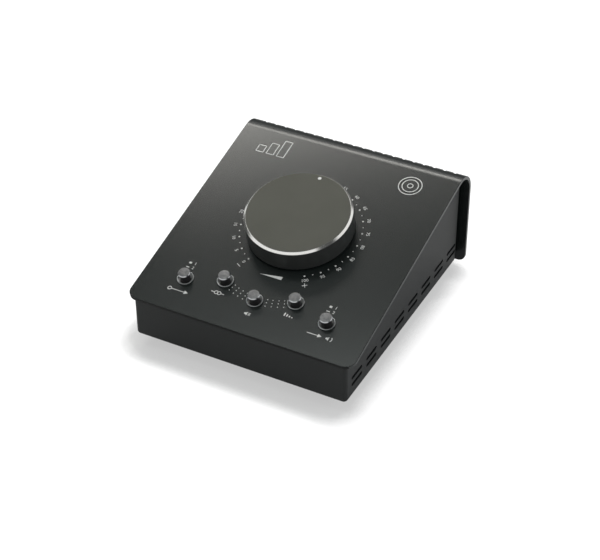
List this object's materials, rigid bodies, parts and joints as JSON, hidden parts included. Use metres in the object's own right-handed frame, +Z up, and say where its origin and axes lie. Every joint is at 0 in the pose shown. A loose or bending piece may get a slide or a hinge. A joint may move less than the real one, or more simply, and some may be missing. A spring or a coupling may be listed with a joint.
{
  "type": "studio monitor controller",
  "caption": "Desktop monitor controller: folded sheet cover with sloping panel over a vented tray, large volume knob, push buttons and rear jack sockets.",
  "frame": {"origin": "on the table under the middle of the box round the part, halfway across the cover and halfway from its front edge to the ends of the jacks", "axes": "+X to the user's right, +Y away from the user towards the jacks, +Z up"},
  "size_m": [0.135, 0.1538, 0.0723],
  "materials": {
    "cover_coat": "dark grey fine-texture powder coat",
    "tray_coat": "black satin powder coat",
    "knob_metal": "dark anodised, blasted top with a bright cut chamfer",
    "pointer_paint": "white fill paint",
    "cap_plastic": "satin grey moulded ABS",
    "bezel_metal": "grey plated ring",
    "rubber": "moulded black rubber",
    "zinc": "zinc plated",
    "nickel": "nickel plated",
    "black_plastic": "moulded glass-filled nylon",
    "white_plastic": "moulded acetal",
    "board": "green solder mask on glass-epoxy",
    "cable": "grey flat cable insulation"
  },
  "bodies": {
    "chassis": {"top_cover": "cover_coat", "chassis_tray": "tray_coat", "volume_pot": "zinc", "pot_nut": "nickel", "main_board": "board", "rear_board": "board", "ribbon_cable": "cable", "ribbon_plug_main": "black_plastic", "ribbon_plug_rear": "black_plastic", "board_screw_left": "zinc", "board_screw_right": "zinc", "source_button_bezel": "bezel_metal", "source_switch_body": "black_plastic", "mono_button_bezel": "bezel_metal", "mono_switch_body": "black_plastic", "mute_button_bezel": "bezel_metal", "mute_switch_body": "black_plastic", "dim_button_bezel": "bezel_metal", "dim_switch_body": "black_plastic", "monitor_button_bezel": "bezel_metal", "monitor_switch_body": "black_plastic", "source_1_left_jack": "black_plastic", "source_1_left_jack_nut": "nickel", "source_1_right_jack": "black_plastic", "source_1_right_jack_nut": "nickel", "source_2_left_jack": "black_plastic", "source_2_left_jack_nut": "nickel", "source_2_right_jack": "black_plastic", "source_2_right_jack_nut": "nickel", "monitor_1_left_jack": "black_plastic", "monitor_1_left_jack_nut": "nickel", "monitor_1_right_jack": "black_plastic", "monitor_1_right_jack_nut": "nickel", "monitor_2_left_jack": "black_plastic", "monitor_2_left_jack_nut": "nickel", "monitor_2_right_jack": "black_plastic", "monitor_2_right_jack_nut": "nickel", "foot_front_left": "rubber", "foot_screw_front_left": "zinc", "foot_front_right": "rubber", "foot_screw_front_right": "zinc", "foot_rear_left": "rubber", "foot_screw_rear_left": "zinc", "foot_rear_right": "rubber", "foot_screw_rear_right": "zinc"},
    "volume_control": {"volume_knob": "knob_metal", "knob_pointer": "pointer_paint", "knob_grub_screw": "zinc", "pot_shaft": "zinc"},
    "source_button": {"source_button_cap": "cap_plastic", "source_switch_plunger": "white_plastic"},
    "mono_button": {"mono_button_cap": "cap_plastic", "mono_switch_plunger": "white_plastic"},
    "mute_button": {"mute_button_cap": "cap_plastic", "mute_switch_plunger": "white_plastic"},
    "dim_button": {"dim_button_cap": "cap_plastic", "dim_switch_plunger": "white_plastic"},
    "monitor_button": {"monitor_button_cap": "cap_plastic", "monitor_switch_plunger": "white_plastic"}
  },
  "joints": [
    {"name": "volume_turn", "type": "hinge", "parent": "chassis", "child": "volume_control", "pos_m": [0, -0.00312, 0.05164], "axis": [0, 0.2475, -0.9689], "range_deg": [-150, 150]},
    {"name": "source_press", "type": "slide", "parent": "chassis", "child": "source_button", "axis": [0, 0.2475, -0.9689], "range_m": [0, 0.0022], "stiffness_N_per_m": 400, "springref_m": -0.0012},
    {"name": "mono_press", "type": "slide", "parent": "chassis", "child": "mono_button", "axis": [0, 0.2475, -0.9689], "range_m": [0, 0.0022], "stiffness_N_per_m": 400, "springref_m": -0.0012},
    {"name": "mute_press", "type": "slide", "parent": "chassis", "child": "mute_button", "axis": [0, 0.2475, -0.9689], "range_m": [0, 0.0022], "stiffness_N_per_m": 400, "springref_m": -0.0012},
    {"name": "dim_press", "type": "slide", "parent": "chassis", "child": "dim_button", "axis": [0, 0.2475, -0.9689], "range_m": [0, 0.0022], "stiffness_N_per_m": 400, "springref_m": -0.0012},
    {"name": "monitor_press", "type": "slide", "parent": "chassis", "child": "monitor_button", "axis": [0, 0.2475, -0.9689], "range_m": [0, 0.0022], "stiffness_N_per_m": 400, "springref_m": -0.0012}
  ]
}
